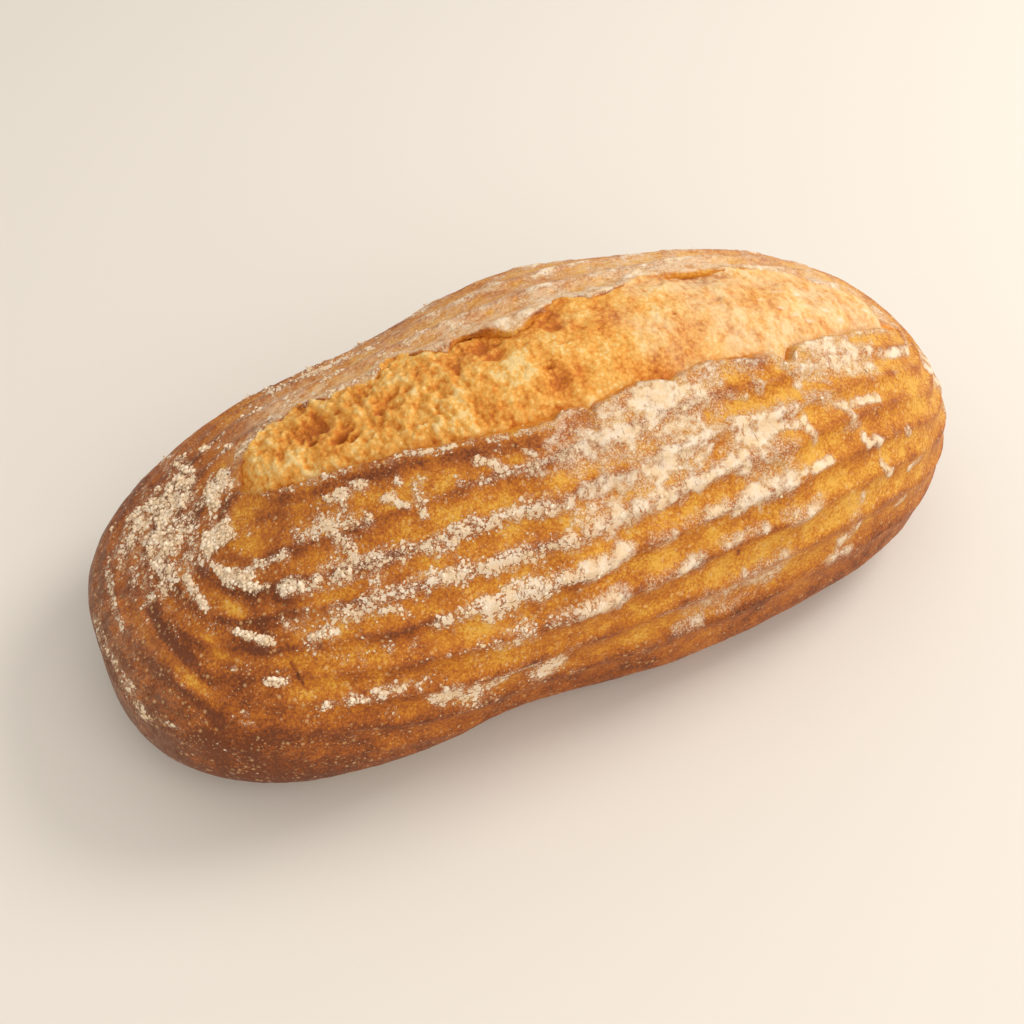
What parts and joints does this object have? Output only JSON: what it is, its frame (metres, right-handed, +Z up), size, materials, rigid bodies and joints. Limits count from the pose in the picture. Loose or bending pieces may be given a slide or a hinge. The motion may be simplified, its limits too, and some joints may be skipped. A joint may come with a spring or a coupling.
{
  "type": "hearth loaf",
  "caption": "Oval floured hearth loaf with lengthwise coil ridges and one long slash opened along the top.",
  "frame": {"origin": "centre of the bounding box in plan, on the plane that the loaf rests on", "axes": "+X along the loaf towards its taller end, -Y towards the side with the clean slash edge, +Z up"},
  "size_m": [0.3, 0.144, 0.1103],
  "materials": {
    "crust": null
  },
  "bodies": {
    "root": {"loaf": "crust"}
  },
  "joints": []
}
